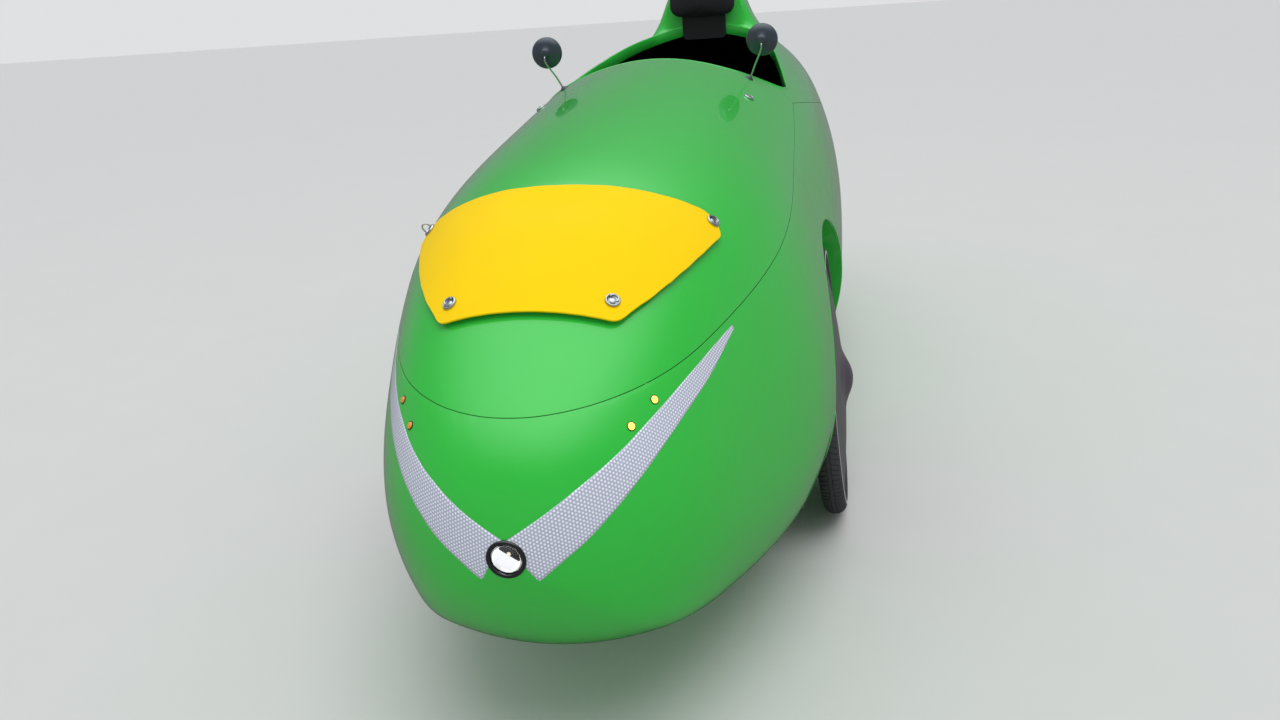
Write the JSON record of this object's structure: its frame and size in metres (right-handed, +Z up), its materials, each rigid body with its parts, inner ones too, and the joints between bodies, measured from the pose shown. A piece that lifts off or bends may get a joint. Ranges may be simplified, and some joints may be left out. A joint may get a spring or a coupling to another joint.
{
  "type": "velomobile",
  "caption": "Three-wheeled pedal velomobile with a hollow moulded body, open cockpit, two steered front wheels and one driven rear wheel.",
  "frame": {"origin": "centre of the bounding box on the floor, under the middle of the vehicle", "axes": "front faces -Y, the rider's left is +X, +Z up"},
  "size_m": [0.7254, 2.85, 0.9581],
  "materials": {
    "alloy": "machined",
    "amber_lens": "amber translucent",
    "black_alloy": "black anodised",
    "black_plastic": "satin black",
    "carbon": "satin carbon laminate",
    "clear_lens": "clear",
    "dark_liner": "matte dark laminate",
    "edge_rubber": "matte black rubber",
    "green_paint": "glossy green gelcoat",
    "grip_foam": "foam grip",
    "lamp_chrome": "bright reflector",
    "mirror_shell": "dark blue-grey",
    "mirror_silver": "mirror glass",
    "pad_fabric": "black fabric over foam",
    "red_lens": "red translucent",
    "steel_part": "zinc-plated",
    "tyre_rubber": "road tyre",
    "wheel_disc": "dark purple-grey",
    "yellow_paint": "glossy yellow"
  },
  "bodies": {
    "body": {"hull": "green_paint", "bonnet": "green_paint", "rear_deck": "green_paint", "hatch_plate": "yellow_paint", "hatch_spacers": "black_plastic", "hatch_fasteners": "steel_part", "bonnet_fasteners": "steel_part", "wheel_box_left": "green_paint", "wheel_box_right": "green_paint", "rear_wheel_box": "dark_liner", "headlamp_bezel": "black_plastic", "headlamp_reflector": "lamp_chrome", "headlamp_lens": "clear_lens", "tail_lamp": "red_lens", "indicator_left": "amber_lens", "indicator_right": "amber_lens", "mirror_left": "mirror_shell", "mirror_right": "mirror_shell", "mirror_glass_left": "mirror_silver", "mirror_glass_right": "mirror_silver", "cockpit_coaming": "green_paint", "headrest_bracket": "black_plastic", "headrest_pad": "pad_fabric", "seat_shell": "carbon", "seat_pad": "pad_fabric", "seat_mount": "carbon", "strut_mount_left": "alloy", "strut_mount_right": "alloy", "control_arm_left": "black_alloy", "control_arm_right": "black_alloy", "tiller_bearing": "alloy", "boom": "black_alloy", "swing_arm": "black_alloy"},
    "knuckle_left": {"knuckle_left": "alloy", "strut_left": "edge_rubber"},
    "front_wheel_left": {"tyre_left": "tyre_rubber", "wheel_left": "alloy", "wheel_cover_left": "wheel_disc"},
    "tie_rod_left": {"tie_rod_left": "steel_part"},
    "knuckle_right": {"knuckle_right": "alloy", "strut_right": "edge_rubber"},
    "front_wheel_right": {"tyre_right": "tyre_rubber", "wheel_right": "alloy", "wheel_cover_right": "wheel_disc"},
    "tie_rod_right": {"tie_rod_right": "steel_part"},
    "tiller": {"tiller": "black_alloy", "tiller_grips": "grip_foam"},
    "cranks": {"crankset": "steel_part"},
    "rear_wheel": {"tyre_rear": "tyre_rubber", "wheel_rear": "alloy"}
  },
  "joints": [
    {"name": "steer_left", "type": "hinge", "parent": "body", "child": "knuckle_left", "pos_m": [0.282, -0.521, 0.14], "axis": [-0.1592, 0, 0.9872], "range_deg": [-15, 15]},
    {"name": "spin_left", "type": "hinge", "parent": "knuckle_left", "child": "front_wheel_left", "pos_m": [0.315, -0.521, 0.24231], "axis": [0.9969, 0, 0.0785], "continuous": true},
    {"name": "tie_rod_slide_left", "type": "slide", "parent": "body", "child": "tie_rod_left", "axis": [0.9872, 0, 0.1592], "range_m": [-0.0198, 0.0198]},
    {"name": "steer_right", "type": "hinge", "parent": "body", "child": "knuckle_right", "pos_m": [-0.282, -0.521, 0.14], "axis": [0.1592, 0, 0.9872], "range_deg": [-15, 15]},
    {"name": "spin_right", "type": "hinge", "parent": "knuckle_right", "child": "front_wheel_right", "pos_m": [-0.315, -0.521, 0.24231], "axis": [0.9969, 0, -0.0785], "continuous": true},
    {"name": "tie_rod_slide_right", "type": "slide", "parent": "body", "child": "tie_rod_right", "axis": [0.9872, 0, -0.1592], "range_m": [-0.0198, 0.0198]},
    {"name": "tiller_turn", "type": "hinge", "parent": "body", "child": "tiller", "pos_m": [0, -0.465, 0.15], "axis": [0, 0, 1], "range_deg": [-15, 15]},
    {"name": "crank_turn", "type": "hinge", "parent": "body", "child": "cranks", "pos_m": [0, -1.025, 0.4], "axis": [1, 0, 0], "continuous": true},
    {"name": "spin_rear", "type": "hinge", "parent": "body", "child": "rear_wheel", "pos_m": [0, 0.709, 0.3195], "axis": [1, 0, 0], "continuous": true}
  ],
  "couplings": [
    {"joint": "steer_right", "follows": "steer_left", "ratio": 1},
    {"joint": "tie_rod_slide_left", "follows": "steer_left", "m_per_rad": -0.075},
    {"joint": "tie_rod_slide_right", "follows": "steer_left", "m_per_rad": -0.075},
    {"joint": "tiller_turn", "follows": "steer_left", "ratio": 1}
  ]
}
